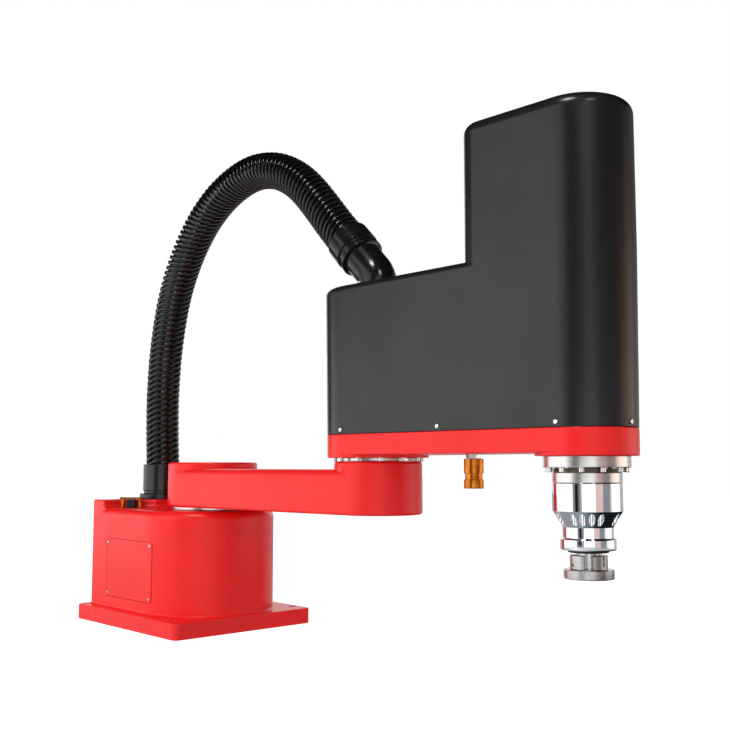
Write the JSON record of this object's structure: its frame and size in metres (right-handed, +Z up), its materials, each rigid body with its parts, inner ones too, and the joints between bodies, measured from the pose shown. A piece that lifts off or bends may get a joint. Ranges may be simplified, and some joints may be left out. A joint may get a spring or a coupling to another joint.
{
  "type": "scara robot",
  "caption": "Four-axis SCARA robot: bolted base, two horizontal arms, covered drive tower, sliding and turning quill with tool flange, and an arched conduit hose.",
  "frame": {"origin": "first joint's axis on the underside of the base", "axes": "+X along both arms at rest, towards the quill; +Y to the left of the arms; +Z up"},
  "size_m": [0.8239, 0.212, 0.6193],
  "materials": {
    "red_paint": "satin powder coat",
    "cover_black": "satin",
    "hose_black": "satin ribbed",
    "fitting_black": "satin",
    "port_black": "matte",
    "motor_black": "satin",
    "satin_steel": "satin",
    "plain_steel": "machined",
    "plain_aluminium": "machined",
    "chrome": "polished",
    "gold_brass": "satin",
    "seal_rubber": "matte",
    "belt_rubber": "matte"
  },
  "bodies": {
    "base": {"base_casting": "red_paint", "base_access_panel": "red_paint", "base_floor_plate": "plain_steel", "j1_motor": "motor_black", "j1_reducer": "plain_steel", "port_block": "port_black", "port_plate": "gold_brass", "port_post_rear": "gold_brass", "port_post_front": "gold_brass", "power_connector": "motor_black", "signal_connector": "motor_black", "air_fitting_upper": "gold_brass", "air_fitting_lower": "gold_brass", "hose_flange_lower": "fitting_black", "hose_collar_lower": "fitting_black", "conduit_hose": "hose_black"},
    "lower_arm": {"lower_arm": "red_paint", "j1_output_ring": "satin_steel", "j2_reducer": "plain_steel"},
    "upper_arm": {"upper_arm_plate": "red_paint", "upper_arm_cover": "cover_black", "j2_output_ring": "satin_steel", "j2_motor": "motor_black", "drive_frame": "plain_aluminium", "j3_motor_bracket": "plain_aluminium", "j3_motor": "motor_black", "j4_motor": "motor_black", "j3_belt": "belt_rubber", "j4_belt": "belt_rubber", "quill_flange": "satin_steel", "quill_bearing": "plain_steel", "muffler_neck": "plain_steel", "muffler_body": "gold_brass", "hose_flange_upper": "fitting_black"},
    "hose_swivel": {"hose_elbow": "fitting_black", "hose_collar_upper": "fitting_black"},
    "quill": {"spline_nut": "plain_steel", "bell_ring": "satin_steel", "chrome_bell": "chrome", "shaft_seal": "seal_rubber", "j4_pulley": "plain_aluminium"},
    "shaft": {"spline_shaft": "chrome", "shaft_stop_collar": "motor_black", "tool_hub": "satin_steel", "tool_flange": "satin_steel"},
    "screw_nut": {"ball_screw_nut": "plain_steel", "screw_pulley": "plain_aluminium"},
    "third_drive": {"j3_motor_pulley": "plain_aluminium"},
    "fourth_drive": {"j4_motor_pulley": "plain_aluminium"}
  },
  "joints": [
    {"name": "joint_one", "type": "hinge", "parent": "base", "child": "lower_arm", "pos_m": [0, 0, 0.1565], "axis": [0, 0, 1], "range_deg": [-120, 120], "deforming": ["conduit_hose"]},
    {"name": "joint_two", "type": "hinge", "parent": "lower_arm", "child": "upper_arm", "pos_m": [0.325, 0, 0.2185], "axis": [0, 0, 1], "range_deg": [-140, 140]},
    {"name": "joint_four", "type": "hinge", "parent": "upper_arm", "child": "quill", "pos_m": [0.6, 0, 0.2], "axis": [0, 0, 1], "range_deg": [-360, 360]},
    {"name": "joint_three", "type": "slide", "parent": "quill", "child": "shaft", "axis": [0, 0, -1], "range_m": [0, 0.15]},
    {"name": "screw_nut_turn", "type": "hinge", "parent": "quill", "child": "screw_nut", "pos_m": [0.6, 0, 0.3], "axis": [0, 0, 1], "range_deg": [-1, 2701]},
    {"name": "third_drive_turn", "type": "hinge", "parent": "upper_arm", "child": "third_drive", "pos_m": [0.54, 0, 0.3], "axis": [0, 0, 1], "range_deg": [-1, 4681]},
    {"name": "fourth_drive_turn", "type": "hinge", "parent": "upper_arm", "child": "fourth_drive", "pos_m": [0.48, 0, 0.26], "axis": [0, 0, 1], "range_deg": [-721, 721]},
    {"name": "hose_swivel_turn", "type": "hinge", "parent": "upper_arm", "child": "hose_swivel", "pos_m": [0.325, 0, 0.4225], "axis": [0, 0, 1], "range_deg": [-141, 141]}
  ],
  "couplings": [
    {"joint": "screw_nut_turn", "follows": "joint_three", "rad_per_m": 314.16},
    {"joint": "third_drive_turn", "follows": "joint_three", "rad_per_m": 544.54},
    {"joint": "fourth_drive_turn", "follows": "joint_four", "ratio": 2},
    {"joint": "hose_swivel_turn", "follows": "joint_two", "ratio": -1}
  ]
}
